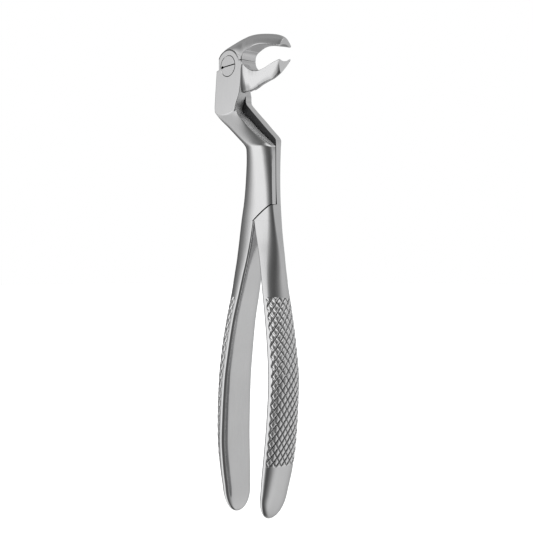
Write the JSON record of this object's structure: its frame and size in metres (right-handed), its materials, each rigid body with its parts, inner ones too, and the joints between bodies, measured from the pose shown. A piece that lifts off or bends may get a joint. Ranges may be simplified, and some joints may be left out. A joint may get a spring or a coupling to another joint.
{
  "type": "extraction forceps",
  "caption": "Steel dental extraction forceps with hooked beaks set across the handles, a lap joint with a slotted pivot screw, and two bowed knurled handles.",
  "frame": {"origin": "bottom centre of the closed forceps: the middle of the bounding box in X and Y, at the handle ends in Z", "axes": "+Z along the handles towards the joint, +X the way the beaks point, and the hinge axis along Y with the screw's slotted head facing -Y"},
  "size_m": [0.0364, 0.0142, 0.1745],
  "materials": {
    "polished_steel": "satin-polished stainless steel, brighter on the round faces",
    "screw_steel": "satin stainless steel, ground flush with the cheeks"
  },
  "bodies": {
    "rear": {"rear_half": "polished_steel", "pivot_screw": "screw_steel"},
    "front": {"front_half": "polished_steel"}
  },
  "joints": [
    {"name": "jaw_hinge", "type": "hinge", "parent": "rear", "child": "front", "pos_m": [-0.01075, 0, 0.1642], "axis": [0, 1, 0], "range_deg": [0, 22]}
  ]
}
